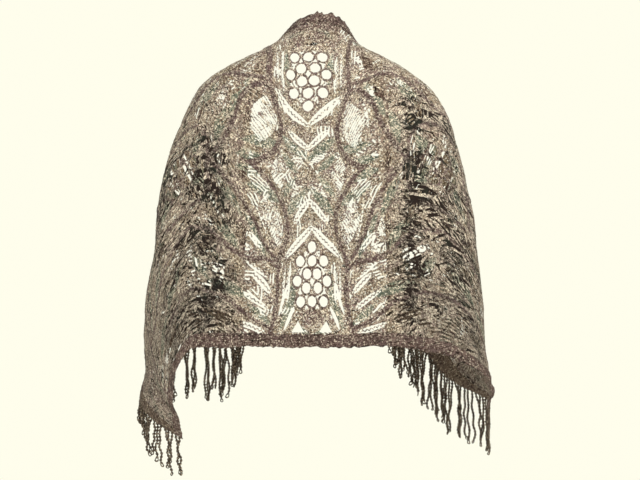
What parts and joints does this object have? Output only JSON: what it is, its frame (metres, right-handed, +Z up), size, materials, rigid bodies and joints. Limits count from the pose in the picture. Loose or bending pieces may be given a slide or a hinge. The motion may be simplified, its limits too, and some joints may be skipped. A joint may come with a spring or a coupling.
{
  "type": "lace shawl",
  "caption": "Rectangular lace shawl in its worn form over back, shoulders and arms, with dense borders, openwork of ring bunches and leaves, and corded fringe on both short ends.",
  "frame": {"origin": "on the inner face of the cloth at the nape, on the centre back line, where the wearer's neck and shoulders hold it", "axes": "+Z up, +Y towards the wearer's front so the back of the shawl faces -Y, +X towards the wearer's right"},
  "size_m": [0.7418, 0.2938, 0.9586],
  "materials": {
    "lace_back": "matt fuzzy yarn lace in grey-brown with sage and plum flecks",
    "lace_left_fall": "matt fuzzy yarn lace in grey-brown with sage and plum flecks",
    "lace_right_fall": "matt fuzzy yarn lace in grey-brown with sage and plum flecks",
    "neck_border": "dense looped yarn, dark brown",
    "hem_border": "dense looped yarn, dark brown",
    "left_end_band": "plain close yarn, brown",
    "right_end_band": "plain close yarn, brown",
    "left_fringe": "twisted yarn cords, dark brown",
    "right_fringe": "twisted yarn cords, dark brown"
  },
  "bodies": {
    "root": {"lace_back": "lace_back", "lace_left_fall": "lace_left_fall", "lace_right_fall": "lace_right_fall", "neck_border": "neck_border", "hem_border": "hem_border", "left_end_band": "left_end_band", "right_end_band": "right_end_band", "left_fringe": "left_fringe", "right_fringe": "right_fringe"}
  },
  "joints": []
}
